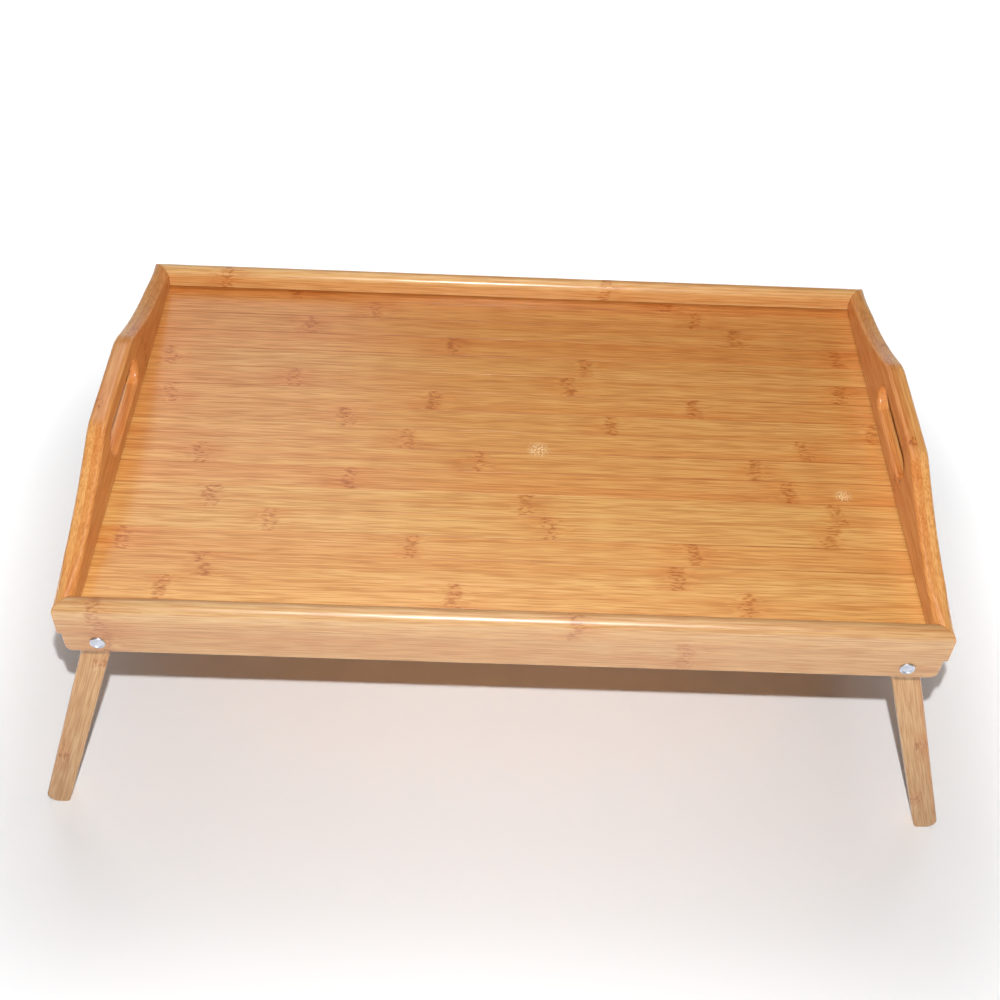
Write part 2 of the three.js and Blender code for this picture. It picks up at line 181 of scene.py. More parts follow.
def add_slab(bm, outlines, thickness):
    """A board drawn in XY, centred on z = 0, with both faces' edges rounded.

    Each outline is a list of (x, y, edge radius) with the material on its left: the outside
    first, and then the holes.
    """
    face_edges = {-1: [], 1: []}
    for outline in outlines:
        points = [Vector((x, y)) for x, y, radius in outline]
        ways = inward_ways(points)
        rings = []
        for face in (-1, 1):
            steps = range(EDGE_STEPS + 1) if face < 0 else range(EDGE_STEPS, -1, -1)
            for step in steps:
                turn = math.radians(90) * step / EDGE_STEPS
                ring = []
                for point, way, (_, _, radius) in zip(points, ways, outline):
                    flat = point + way * radius * (1 - math.sin(turn))
                    height = thickness / 2 - radius * (1 - math.cos(turn))
                    ring.append(bm.verts.new((flat.x, flat.y, face * height)))
                rings.append(ring)
        join_rings(bm, rings)
        for face, ring in ((-1, rings[0]), (1, rings[-1])):
            face_edges[face] += [bm.edges.get((ring[i - 1], ring[i])) for i in range(len(ring))]
    for edges in face_edges.values():
        bmesh.ops.triangle_fill(bm, use_beauty=True, edges=edges)


def slab(name, outlines, thickness):
    """A piece of one board, as add_slab draws it."""
    bm = bmesh.new()
    add_slab(bm, outlines, thickness)
    return new_piece(name, bm)


def corner(before, here, after, radius, edge=0.0):
    """The outline's points round one corner, on an arc that touches both its edges."""
    back = (Vector(before) - Vector(here)).normalized()
    on = (Vector(after) - Vector(here)).normalized()
    half = math.acos(max(-1, min(1, back.dot(on)))) / 2
    centre = Vector(here) + (back + on).normalized() * radius / math.sin(half)
    start = Vector(here) + back * radius / math.tan(half) - centre
    turn = math.pi - 2 * half
    if back.cross(on) > 0:
        turn = -turn
    points = []
    for step in range(CORNER_STEPS + 1):
        point = centre + start @ Matrix.Rotation(-turn * step / CORNER_STEPS, 2)
        points.append((point.x, point.y, edge))
    return points


def turned(name, profile):
    """A body turned about the Y axis from (radius, y) points, closed on the axis or on itself."""
    bm = bmesh.new()
    rings = []
    for i in range(ROUND_FACETS):
        angle = 2 * math.pi * i / ROUND_FACETS
        rings.append([
            bm.verts.new((radius * math.cos(angle), y, radius * math.sin(angle)))
            for radius, y in profile
        ])
    join_rings(bm, rings, closed=True, around=profile[0][0] > 0)
    return new_piece(name, bm)


def arc(centre, radius, start, end, steps=EDGE_STEPS):
    """Points along an arc, for profiles. Angles are in degrees."""
    points = []
    for step in range(steps + 1):
        angle = math.radians(start + (end - start) * step / steps)
        points.append((centre[0] + radius * math.cos(angle), centre[1] + radius * math.sin(angle)))
    return points


def block(name, low, high):
    """A box between its lowest and its highest corner."""
    bm = bmesh.new()
    bmesh.ops.create_cube(bm, size=1)
    for vert in bm.verts:
        for axis in range(3):
            vert.co[axis] = high[axis] if vert.co[axis] > 0 else low[axis]
    return new_piece(name, bm)


def wedge(name, plan, low, high):
    """An upright prism on a plan of (x, y) points."""
    bm = bmesh.new()
    rings = [[bm.verts.new((x, y, z)) for x, y in plan] for z in (low, high)]
    join_rings(bm, rings)
    bm.faces.new(rings[0])
    bm.faces.new(rings[1])
    return new_piece(name, bm)


def bore(name, x, z, radius, one_end, other_end):
    """A cylinder along Y, for cutting holes."""
    low, high = sorted((one_end, other_end))
    cutter = turned(name, [(0, low), (radius, low), (radius, high), (0, high)])
    cutter.data.transform(Matrix.Translation((x, 0, z)))
    return cutter


def carve(piece, cutters):
    """Cuts the cutters' shapes out of a piece, and removes the cutters."""
    for cutter in cutters:
        cut = piece.modifiers.new("cut", "BOOLEAN")
        cut.operation = "DIFFERENCE"
        cut.solver = "EXACT"
        cut.object = cutter
    settle(piece)
    for cutter in cutters:
        bpy.data.objects.remove(cutter)


def settle(piece):
    """Applies a piece's modifiers to its mesh."""
    evaluated = piece.evaluated_get(bpy.context.evaluated_depsgraph_get())
    mesh = bpy.data.meshes.new_from_object(evaluated)
    piece.modifiers.clear()
    piece.data = mesh


def smooth(piece):
    """Smooth shading across rounded edges, with flat faces kept flat."""
    mesh = piece.data
    mesh.shade_smooth()
    mesh.set_sharp_from_angle(angle=SMOOTH_ANGLE)
    weighted = piece.modifiers.new("weighted", "WEIGHTED_NORMAL")
    weighted.keep_sharp = True
    weighted.weight = 100           # large faces outweigh the small ones of their edges
    settle(piece)


# ---- How the bamboo runs ---------------------------------------------------------------

def lamella(first, spacing, tint, seed):
    """One glued strip of bamboo: its first knuckle and the way to the next, in millimetres
    along the grain, its tint from 0, pale, to 1, deep, and a seed for its figure."""
    return {"first": first * MM, "spacing": spacing * MM, "tint": tint, "seed": seed}


def lay_grain(piece, along, across, layers, borders=(), split="across"):
    """Tells each point where it is in the grain, and each face which lamella it belongs to.

    The borders between the lamellae are places on the axis across the grain, or through it.
    """
    through = along.cross(across)
    splitting = across if split == "across" else through
    bm = bmesh.new()
    bm.from_mesh(piece.data)
    for border in borders:
        geometry = bm.verts[:] + bm.edges[:] + bm.faces[:]
        bmesh.ops.bisect_plane(bm, geom=geometry, dist=SAME_POINT,
                               plane_co=splitting * border, plane_no=splitting)
    bm.to_mesh(piece.data)
    bm.free()

    mesh = piece.data
    mesh.attributes.new("grain", "FLOAT_VECTOR", "POINT")
    mesh.attributes.new("lamella", "FLOAT_VECTOR", "FACE")
    mesh.attributes.new("tint", "FLOAT", "FACE")
    grain, figure, tint = [mesh.attributes[name].data for name in ("grain", "lamella", "tint")]
    for vert in mesh.vertices:
        grain[vert.index].vector = (vert.co.dot(along), vert.co.dot(across), vert.co.dot(through))
    for face in mesh.polygons:
        layer = layers[bisect(borders, face.center.dot(splitting))]
        figure[face.index].vector = (layer["first"], layer["spacing"], layer["seed"])
        tint[face.index].value = layer["tint"]


def dress(piece, material, body, slot, *nodes):
    """Gives a piece its material and body, and hides the frame nodes that it stands for. The slot is
    not used.
    """
    piece.data.materials.clear()
    piece.data.materials.append(material)
    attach(piece, body)
    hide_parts(*nodes)


# ---- Materials -------------------------------------------------------------------------

# Noise scales, per metre, along, across and through the grain.
WANDER = (25, 110, 110)             # of a knuckle's line
SWIRL = (90, 150, 150)              # of the fibres beside a knuckle
BANDS = (1.8, 110, 110)
STREAKS = (4, 480, 480)
FIBRES = (36, 1100, 1100)
BUNDLES = (40, 1100, 1100)
PATCHES = (40, 90, 90)              # of the glow about a knuckle
DASHES = (210, 760, 760)            # in a knuckle
JOINT_BREAKS = (3, 14, 14)
SCRATCHES = (900, 1300, 0)
STAINS = (160, 160, 160)            # on metal

# How much of a colour's red, green and blue each kind of mark lets through.
WARM = (0.93, 0.76, 0.6)
LIGHT = (1.09, 1.16, 1.26)
BROWN = (0.72, 0.56, 0.4)
CREAM = (1.13, 1.3, 1.55)
GLOW = (0.94, 0.76, 0.6)
BURNT = (0.62, 0.37, 0.17)
STAINED = (0.78, 0.77, 0.76)

WANDER_WIDTH = 12 * MM              # how far along the grain a knuckle's line wanders
KNUCKLE_FADE = (2.2 * MM, 5.8 * MM)     # where a knuckle's dashes thin out, from its line
HALO_FADE = (4 * MM, 30 * MM)           # and where its glow does
JOINT_FADE = (0.15 * MM, 0.55 * MM)     # the same, from the middle of a glue line
SWAY = 3.5 * MM                     # how far fibres bend at a knuckle
SWAY_REACH = 18 * MM                # and how far along the grain from it
FIBRE_DEPTH = 0.05 * MM
MARK_DEPTH = 0.02 * MM              # of the marks on metal


def srgb(red, green, blue):
    """A colour given by its usual 0 to 255 values."""
    def linear(value):
        share = value / 255
        return share / 12.92 if share <= 0.04045 else ((share + 0.055) / 1.055) ** 2.4
    return (linear(red), linear(green), linear(blue), 1.0)


class Nodes:
    """Short ways to add the shader nodes of a material or world, and join them."""

    def __init__(self, owner):
        self.owner = owner
        self.owner.use_nodes = True
        self.tree = self.owner.node_tree
        self.tree.nodes.clear()

    def feed(self, socket, value):
        if isinstance(value, bpy.types.NodeSocket):
            self.tree.links.new(value, socket)
        else:
            socket.default_value = value

    def add(self, kind, inputs=None, **settings):
        node = self.tree.nodes.new("ShaderNode" + kind)
        for key, value in settings.items():
            setattr(node, key, value)
        for key, value in (inputs or {}).items():
            self.feed(node.inputs[key], value)
        return node

    def attribute(self, name, output="Vector"):
        return self.add("Attribute", attribute_name=name).outputs[output]

    def math(self, operation, *values):
        inputs = dict(enumerate(values))
        return self.add("Math", inputs, operation=operation).outputs[0]

    def vector(self, operation, *values):
        inputs = dict(enumerate(values))
        return self.add("VectorMath", inputs, operation=operation).outputs[0]

    def split(self, vector):
        return self.add("SeparateXYZ", {0: vector}).outputs[:]

    def combine(self, x, y, z):
        return self.add("CombineXYZ", {0: x, 1: y, 2: z}).outputs[0]

    def noise(self, place, stretch, detail=2.0, roughness=0.5):
        """Noise about 0.5, with its own scale along each axis, per metre."""
        scaled = self.vector("MULTIPLY", place, stretch)
        inputs = {"Vector": scaled, "Scale": 1.0, "Detail": detail, "Roughness": roughness}
        return self.add("TexNoise", inputs).outputs["Fac"]

    def fade(self, value, low, high, start=0.0, end=1.0):
        """Goes smoothly from start to end as the value goes from low to high."""
        inputs = {"Value": value, "From Min": low, "From Max": high, "To Min": start, "To Max": end}
        node = self.add("MapRange", inputs, interpolation_type="SMOOTHSTEP")
        return node.outputs["Result"]

    def past_nearest(self, value, first, spacing):
        """How far a value is past the nearest of a row of even steps, as a share of a step."""
        turns = self.math("DIVIDE", self.math("SUBTRACT", value, first), spacing)
        return self.math("SUBTRACT", turns, self.math("ROUND", turns))

    def blend(self, share, first, second, kind="MIX"):
        """The two colours mixed. A Mix node's colours are its inputs 6 and 7, and output 2."""
        node = self.add("Mix", data_type="RGBA", blend_type=kind)
        self.feed(node.inputs["Factor"], share)
        self.feed(node.inputs[6], first)
        self.feed(node.inputs[7], second)
        return node.outputs[2]

    def filtered(self, colour, factors):
        """A colour with its red, green and blue each multiplied by a factor."""
        return self.blend(1.0, colour, (*factors, 1.0), "MULTIPLY")

    def overlay(self, colour, over, mask, share):
        """Lays a second colour over a first, where the mask is and as strongly as the share."""
        return self.blend(self.math("MULTIPLY", mask, share), colour, over)

    def surface(self, inputs, height=None, depth=0.0):
        """Ends a material with its shader, with bumps of some depth where a height is given."""
        shader = self.add("BsdfPrincipled", inputs)
        if height is not None:
            bump = self.add("Bump", {"Height": height, "Distance": depth, "Strength": 1.0})
            self.feed(shader.inputs["Normal"], bump.outputs["Normal"])
        output = self.add("OutputMaterial")
        self.feed(output.inputs["Surface"], shader.outputs[0])
        return self.owner


def nearest_knuckle(n, place, along, first, spacing):
    """The distance from the nearest knuckle, whose line wanders across the strip."""
    past = n.past_nearest(along, first, spacing)
    wander = n.noise(place, WANDER, detail=1)
    aside = n.math("MULTIPLY_ADD", wander, WANDER_WIDTH, -WANDER_WIDTH / 2)
    return n.math("ABSOLUTE", n.math("MULTIPLY_ADD", past, spacing, aside))


def bend_fibres(n, place, distance):
    """The place in the grain, shifted so that the fibres bend round the knuckles."""
    swirl = n.noise(place, SWIRL, detail=1)
    sway = n.fade(distance, 0.0, SWAY_REACH, SWAY, 0.0)
    bend = n.math("MULTIPLY", n.math("SUBTRACT", swirl, 0.5), sway)
    return n.vector("ADD", place, n.combine(0.0, bend, bend))


def colour_fibres(n, colour, bent, fibres, contrast):
    """Adds the figure, from the broad bands down to single fibres and bundles of them."""
    bands = n.noise(bent, BANDS, detail=1)
    warm = n.filtered(colour, WARM)
    light = n.filtered(colour, LIGHT)
    colour = n.overlay(colour, warm, n.fade(bands, 0.42, 0.7), 0.6 * contrast)
    colour = n.overlay(colour, light, n.fade(bands, 0.5, 0.25), 0.45 * contrast)

    streaks = n.noise(bent, STREAKS, detail=2, roughness=0.6)
    cells = n.add("TexVoronoi", {
        "Vector": n.vector("MULTIPLY", bent, BUNDLES), "Scale": 1.0, "Randomness": 1.0,
    })
    bundle = n.fade(cells.outputs["Distance"], 0.2, 0.5, 1, 0)
    kind = n.split(cells.outputs["Color"])[0]
    dark_bundle = n.math("MULTIPLY", bundle, n.fade(kind, 0.66, 0.72))
    pale_bundle = n.math("MULTIPLY", bundle, n.fade(kind, 0.28, 0.22))
    brown = n.filtered(colour, BROWN)
    cream = n.filtered(colour, CREAM)
    for shade, mask, share in [
        (brown, n.fade(streaks, 0.52, 0.68), 0.45),
        (brown, n.fade(fibres, 0.51, 0.63), 0.55),
        (cream, n.fade(fibres, 0.47, 0.35), 0.6),
        (brown, dark_bundle, 0.6),
        (cream, pale_bundle, 0.45),
    ]:
        colour = n.overlay(colour, shade, mask, share * contrast)
    return colour


def colour_knuckles(n, colour, burnt, place, bent, distance):
    """Adds an orange glow about the knuckles, with short wavy dashes in it.

    Gives the colour, and where the dashes are.
    """
    knuckle = n.fade(distance, *KNUCKLE_FADE, 1, 0)
    halo = n.fade(distance, *HALO_FADE, 1, 0)
    patch = n.fade(n.noise(place, PATCHES, detail=1), 0.35, 0.6)
    glowing = n.math("MAXIMUM", n.math("MULTIPLY", halo, patch), n.math("MULTIPLY", knuckle, 0.8))
    colour = n.overlay(colour, n.filtered(colour, GLOW), glowing, 0.6)
    dashes = n.noise(bent, DASHES, detail=1, roughness=0.6)
    dash = n.math("MULTIPLY", knuckle, n.fade(dashes, 0.48, 0.58))
    return n.overlay(colour, burnt, dash, 0.7), dash


def colour_joints(n, colour, burnt, grain, across, first, pitch):
    """Adds thin dark glue lines along the grain, which fade in and out."""
    near, far = JOINT_FADE
    from_joint = n.math("ABSOLUTE", n.past_nearest(across, first, pitch))
    line = n.fade(from_joint, near / pitch, far / pitch, 1, 0)
    shown = n.fade(n.noise(grain, JOINT_BREAKS, detail=1), 0.4, 0.6)
    return n.overlay(colour, burnt, n.math("MULTIPLY", line, shown), 0.8)


def scuff(n, colour, roughness, grain, x, y, radius):
    """Adds a patch of fine pale scratches to the panel's top."""
    from_middle = n.vector("SUBTRACT", grain, (x * MM, y * MM, PANEL_HIGH.z))
    away = n.add("VectorMath", {0: from_middle}, operation="LENGTH").outputs["Value"]
    inside = n.fade(away, 0.2 * radius * MM, radius * MM, 1, 0)
    scratches = n.noise(grain, SCRATCHES, detail=1)
    scratch = n.math("MULTIPLY", inside, n.fade(scratches, 0.5, 0.58))
    pale = srgb(255, 228, 178)
    colour = n.overlay(colour, pale, scratch, 0.85)
    return colour, n.math("MULTIPLY_ADD", scratch, 0.25, roughness)


def bamboo(name, pale, deep, contrast=1.0, gloss=0.34, shine=0.45, coat=(0.4, 0.22),
           joints=None, scuffs=()):
    """Lacquered bamboo: fibres along the grain, knuckles across it, and a tint per lamella.

    Gloss is the roughness, shine the specular level, and the coat a weight and a roughness.
    Joints, where given, are the place of one glue line across the grain and the way to the next.
    A scuff is its x, y and radius in millimetres.
    """
    n = Nodes(bpy.data.materials.new(name))
    grain = n.attribute("grain")
    along, across, _ = n.split(grain)
    first, spacing, seed = n.split(n.attribute("lamella"))
    shift = n.combine(n.math("MULTIPLY", seed, 3.1), n.math("MULTIPLY", seed, 1.7), seed)
    place = n.vector("ADD", grain, shift)
    distance = nearest_knuckle(n, place, along, first, spacing)
    bent = bend_fibres(n, place, distance)
    fibres = n.noise(bent, FIBRES, detail=1, roughness=0.6)

    colour = n.blend(n.attribute("tint", "Fac"), srgb(*pale), srgb(*deep))
    colour = colour_fibres(n, colour, bent, fibres, contrast)
    burnt = n.filtered(colour, BURNT)
    colour, dash = colour_knuckles(n, colour, burnt, place, bent, distance)
    if joints:
        colour = colour_joints(n, colour, burnt, grain, across, *joints)
    roughness = n.fade(fibres, 0.3, 0.7, gloss - 0.04, gloss + 0.1)
    for x, y, radius in scuffs:
        colour, roughness = scuff(n, colour, roughness, grain, x, y, radius)

    height = n.math("ADD", n.math("MULTIPLY", fibres, -0.5), n.math("MULTIPLY", dash, -0.4))
    return n.surface({
        "Base Color": colour,
        "Roughness": roughness,
        "Specular IOR Level": shine,
        "Coat Weight": coat[0],
        "Coat Roughness": coat[1],
    }, height, FIBRE_DEPTH)


def metal(name, colour, roughness, brush):
    """Plated or bare metal, with fine turned or drawn marks and faint stains."""
    n = Nodes(bpy.data.materials.new(name))
    place = n.attribute("grain")
    marks = n.noise(place, brush, detail=3, roughness=0.6)
    stains = n.noise(place, STAINS, detail=3)
    clean = srgb(*colour)
    return n.surface({
        "Base Color": n.blend(n.fade(stains, 0.45, 0.68), clean, n.filtered(clean, STAINED)),
        "Metallic": 1.0,
        "Roughness": n.fade(marks, 0.3, 0.7, roughness - 0.08, roughness + 0.12),
    }, marks, MARK_DEPTH)


PANEL_BAMBOO = bamboo("panel_bamboo", (217, 164, 93), (214, 140, 70),
                      joints=(STRIP / 2, STRIP), scuffs=((19, -6, 9), (207, -38, 7)))
RAIL_BAMBOO = {
    "front": bamboo("front_rail_bamboo", (203, 156, 100), (186, 130, 76), contrast=0.9, gloss=0.42,
                    shine=0.6, coat=(0.8, 0.33), joints=(RAIL_JOINT_Z, 1)),
    "back": bamboo("back_rail_bamboo", (230, 176, 110), (216, 150, 84), contrast=0.9,
                   joints=(RAIL_JOINT_Z, 1)),
}
SIDE_BAMBOO = bamboo("side_bamboo", (232, 174, 104), (214, 136, 68), contrast=0.8, gloss=0.36)
LEG_BAMBOO = bamboo("leg_bamboo", (206, 160, 107), (189, 138, 89), contrast=0.9, gloss=0.4)
RIVET_METAL = metal("rivet_aluminium", (208, 211, 221), 0.42, (900, 900, 900))
WASHER_METAL = metal("washer_zinc", (168, 170, 176), 0.38, (1500, 200, 1500))
PIN_METAL = metal("pin_steel", (140, 141, 145), 0.42, (1500, 80, 1500))


# ---- Tray ------------------------------------------------------------------------------

# From the XY plane that an outline is drawn in, to the upright plane that it is meant for.
DRAWN_IN_XZ = Matrix(((1, 0, 0, 0), (0, 0, -1, 0), (0, 1, 0, 0), (0, 0, 0, 1)))
DRAWN_IN_YZ = Matrix(((0, 0, 1, 0), (1, 0, 0, 0), (0, 1, 0, 0), (0, 0, 0, 1)))
X, Y, Z = Vector((1, 0, 0)), Vector((0, 1, 0)), Vector((0, 0, 1))

# The panel's strips from the front to the back, with the knuckles of each. Their tints deepen
# towards the back: partly the strips' own tone, partly painted shade for the key light falling off.
PANEL_STRIPS = [
    lamella(20, 240, 0.55, 1), lamella(-29, 167, 0.3, 2), lamella(-175, 275, 0.25, 3),
    lamella(-57, 167, 0.4, 4), lamella(26, 168, 0.2, 5), lamella(-179, 190, 0.2, 6),
    lamella(-97, 270, 0.55, 7), lamella(-18, 172, 0.45, 8), lamella(-64, 252, 0.5, 9),
    lamella(65, 169, 0.4, 10), lamella(-49, 170, 0.6, 11), lamella(39, 180, 0.55, 12),
    lamella(52, 277, 0.5, 13), lamella(-38, 260, 0.8, 14), lamella(-136, 292, 0.7, 15),
    lamella(-92, 221, 0.75, 16), lamella(-150, 260, 0.9, 17),
]


def build_panel():
    """The panel: strips side by side, each with its own grain."""
    reach = (PANEL_HIGH.y - PANEL_LOW.y) / 2
    joints = [STRIP * (k + 0.5) for k in range(-8, 8)]
    edges = [-reach, *joints, reach]
    bm = bmesh.new()
    for front, back in zip(edges, edges[1:]):
        low, high = front + GLUE_LINE / 2, back - GLUE_LINE / 2
        plan = [(PANEL_LOW.x, low), (PANEL_HIGH.x, low), (PANEL_HIGH.x, high), (PANEL_LOW.x, high)]
        add_slab(bm, [[(x, y, STRIP_ARRIS) for x, y in plan]], PANEL_HIGH.z - PANEL_LOW.z)
    piece = new_piece("panel", bm)
    piece.data.transform(Matrix.Translation((0, 0, (PANEL_LOW.z + PANEL_HIGH.z) / 2)))
    lay_grain(piece, X, Y, PANEL_STRIPS, joints)
    smooth(piece)
    dress(piece, PANEL_BAMBOO, "tray", "bamboo_panel", "tray_panel")


def panel_groove():
    """What the panel's groove takes out of a board."""
    room = Vector((GAP, GAP, GAP))
    return block("groove", PANEL_LOW - room, PANEL_HIGH + room + GROOVE_LIP * Z)


def nail_hole(level, end_name, side_name):
    low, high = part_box(f"pin_nail_{level}_{end_name}_{side_name}")
    middle = (low + high) / 2
    radius = (high.x - low.x) / 2 + GAP
    return bore("nail_hole", middle.x, middle.z, radius, low.y - GAP, high.y + GAP)


def rail_outline():
    """The rail seen from its front. The ends run past the mitres, and step in below them."""
    foot_x = HALF_X - RAIL_END_SETBACK
    past_x = HALF_X + 2 * EDGE_R
    ledge_z = SIDE_FOOT_Z - GAP
    left_foot, right_foot = (-foot_x, RAIL_FOOT_Z), (foot_x, RAIL_FOOT_Z)
    return [
        *corner((-foot_x, ledge_z), left_foot, right_foot, RAIL_CORNER_R, SOFT_EDGE_R),
        *corner(left_foot, right_foot, (foot_x, ledge_z), RAIL_CORNER_R, SOFT_EDGE_R),
        (foot_x, ledge_z, SOFT_EDGE_R),
        (past_x, ledge_z, SOFT_EDGE_R),
        (past_x, RIM_Z, EDGE_R),
        (-past_x, RIM_Z, EDGE_R),
        (-past_x, ledge_z, SOFT_EDGE_R),
        (-foot_x, ledge_z, SOFT_EDGE_R),
    ]


def rail_mitre(side, end):
    """What is cut off a rail's end, above the side board's underside."""
    offset = HALF_X - HALF_Y - GAP / math.sqrt(2)
    near, far = INNER_Y - EDGE_R, HALF_Y + EDGE_R
    beyond = HALF_X + 4 * EDGE_R
    plan = [(offset + near, near), (offset + far, far), (beyond, far), (beyond, near)]
    plan = [(side * x, end * y) for x, y in plan]
    return wedge("mitre", plan, SIDE_FOOT_Z - GAP, RIM_Z + EDGE_R)


# Each rail's lower and upper lamella.
RAIL_LAMELLAE = {
    "front": [lamella(101, 324, 0.5, 21), lamella(39, 266, 0.1, 22)],
    "back": [lamella(-67, 290, 0.3, 23), lamella(-198, 265, 0.0, 24)],
}


def build_rail(end_name, end):
    piece = slab(f"{end_name}_rail", [rail_outline()], BOARD)
    piece.data.transform(Matrix.Translation((0, end * (HALF_Y - BOARD / 2), 0)) @ DRAWN_IN_XZ)
    cutters = [panel_groove()]
    for side_name, side in SIDES.items():
        cutters.append(rail_mitre(side, end))
        cutters.append(bore("rivet_hole", side * PIVOT.x, PIVOT.z, BORE_R,
                            end * (INNER_Y - BOARD), end * (HALF_Y + BOARD)))
        cutters += [nail_hole(level, end_name, side_name) for level in NAIL_LEVELS]
    carve(piece, cutters)
    lay_grain(piece, X, Z, RAIL_LAMELLAE[end_name], [RAIL_JOINT_Z])
    smooth(piece)
    dress(piece, RAIL_BAMBOO[end_name], "tray", "bamboo_rail", f"rail_{end_name}")


def sweep_z(y):
    """Height of a side board's top, away from its level handle."""
    fall = max(0, (HALF_Y - y) / (HALF_Y - HANDLE_HALF))
    return RIM_Z + (HANDLE_Z - RIM_Z) * fall ** SWEEP_POWER


def handle_shoulder():
    """The top of one half of a side board, from its corner up to the level handle."""
    start = HANDLE_HALF + HANDLE_BLEND
    sweep = [HALF_Y + (start - HALF_Y) * step / SWEEP_STEPS for step in range(SWEEP_STEPS)]
    points = [(y, sweep_z(y)) for y in sweep]
    low = Vector((start, sweep_z(start)))
    peak = Vector((HANDLE_HALF, HANDLE_Z))
    high = Vector((HANDLE_HALF - HANDLE_BLEND, HANDLE_Z))
    for step in range(CORNER_STEPS + 1):
        share = step / CORNER_STEPS
        point = low.lerp(peak, share).lerp(peak.lerp(high, share), share)
        points.append((point.x, point.y))
    return points


def side_edge(y):
    """The rounding of a side board's top, which grows to the rails' at its ends."""
    share = max(0, min(1, (HALF_Y - BOARD - abs(y)) / EDGE_FADE))
    return EDGE_R + (SIDE_EDGE_R - EDGE_R) * share


def side_outline():
    """A side board seen from the right, without its slot. The ends run past the mitres."""
    past = HALF_Y + 2 * EDGE_R
    shoulder = handle_shoulder()
    top = [(past, RIM_Z), *shoulder, *[(-y, z) for y, z in reversed(shoulder)], (-past, RIM_Z)]
    foot = [(-past, SIDE_FOOT_Z, SOFT_EDGE_R), (past, SIDE_FOOT_Z, SOFT_EDGE_R)]
    return foot + [(y, z, side_edge(y)) for y, z in top]


def slot_outline():
    """The handle's slot, with round ends, drawn the other way round as a hole is."""
    reach = SLOT_HALF - SLOT_R
    steps = 2 * CORNER_STEPS
    back_end = arc((reach, SLOT_Z), SLOT_R, 90, -90, steps)
    front_end = arc((-reach, SLOT_Z), SLOT_R, 270, 90, steps)
    return [(y, z, SIDE_EDGE_R) for y, z in back_end + front_end]


def side_mitre(side, end):
    """What is cut off a side board's end."""
    offset = HALF_X - HALF_Y + GAP / math.sqrt(2)
    near, far = INNER_X - EDGE_R, HALF_X + EDGE_R
    beyond = HALF_Y + 4 * EDGE_R
    plan = [(near, near - offset), (far, far - offset), (far, beyond), (near, beyond)]
    plan = [(side * x, end * y) for x, y in plan]
    return wedge("mitre", plan, SIDE_FOOT_Z - EDGE_R, HANDLE_Z)


# Each side board's two layers, the left one first.
SIDE_LAMELLAE = {
    "left": [lamella(-20, 400, 0.35, 31), lamella(60, 260, 0.75, 32)],
    "right": [lamella(-30, 260, 0.8, 33), lamella(75, 330, 0.4, 34)],
}


def build_side_board(side_name, side):
    middle_x = side * (INNER_X + HALF_X) / 2
    piece = slab(f"{side_name}_side_board", [side_outline(), slot_outline()], BOARD)
    piece.data.transform(Matrix.Translation((middle_x, 0, 0)) @ DRAWN_IN_YZ)
    cutters = [panel_groove()]
    for end_name, end in ENDS.items():
        cutters.append(side_mitre(side, end))
        cutters += [nail_hole(level, end_name, side_name) for level in NAIL_LEVELS]
    carve(piece, cutters)
    lay_grain(piece, Y, Z, SIDE_LAMELLAE[side_name], [middle_x], split="through")
    smooth(piece)
    dress(piece, SIDE_BAMBOO, "tray", "bamboo_side", f"side_board_{side_name}")


# ---- Leg frames ------------------------------------------------------------------------

def leg_outline(side):
    """The leg in its own frame: the pivot is the origin, and y points up the leg. The foot is
    level when the leg is open, and so is the flat on its top, which stops under the panel."""
    def to_leg(across, up):
        return Vector((across * math.cos(SPLAY) + up * math.sin(SPLAY),
                       up * math.cos(SPLAY) - across * math.sin(SPLAY)))

    stop_up = PANEL_LOW.z - GAP - PIVOT.z
    stop_inner = to_leg(-STOP_INNER, stop_up)
    stop_outer = to_leg(STOP_OUTER, stop_up)
    inner_side = Vector((-LEG_TOP_HALF, math.sqrt(stop_inner.length ** 2 - LEG_TOP_HALF ** 2)))
    outer_side = Vector((LEG_TOP_HALF, math.sqrt(stop_outer.length ** 2 - LEG_TOP_HALF ** 2)))
    inner_foot, outer_foot = [
        Vector((across, -(PIVOT.z + across * math.sin(SPLAY)) / math.cos(SPLAY)))
        for across in (-LEG_FOOT_HALF, LEG_FOOT_HALF)
    ]

    def round_top(first, last, steps):
        start, end = [math.degrees(math.atan2(point.y, point.x)) for point in (first, last)]
        return arc((0, 0), first.length, start, end, steps)

    points = [
        *round_top(outer_side, stop_outer, 1),
        *round_top(stop_inner, inner_side, CORNER_STEPS),
        *corner(inner_side, inner_foot, outer_foot, FOOT_INNER_R),
        *corner(inner_foot, outer_foot, outer_side, FOOT_OUTER_R),
    ]
    outline = [(point[0], point[1], SOFT_EDGE_R) for point in points]
    if side > 0:
        return outline
    return [(-x, y, radius) for x, y, radius in reversed(outline)]


def in_leg_frame(side):
    """From a leg frame's own upright position to where it stands open."""
    return Matrix.Translation((side * PIVOT.x, 0, PIVOT.z)) @ Matrix.Rotation(-side * SPLAY, 4, "Y")


# For each leg, the strip on its left and the strip on its right, seen from the front.
LEG_LAMELLAE = {
    "front_left": [lamella(-144, 300, 0.3, 41), lamella(-38, 300, 0.35, 42)],
    "front_right": [lamella(-165, 300, 0.35, 43), lamella(-101, 300, 0.3, 44)],
    "back_left": [lamella(-60, 300, 0.35, 45), lamella(-120, 300, 0.2, 46)],
    "back_right": [lamella(-90, 300, 0.3, 47), lamella(-30, 300, 0.5, 48)],
}


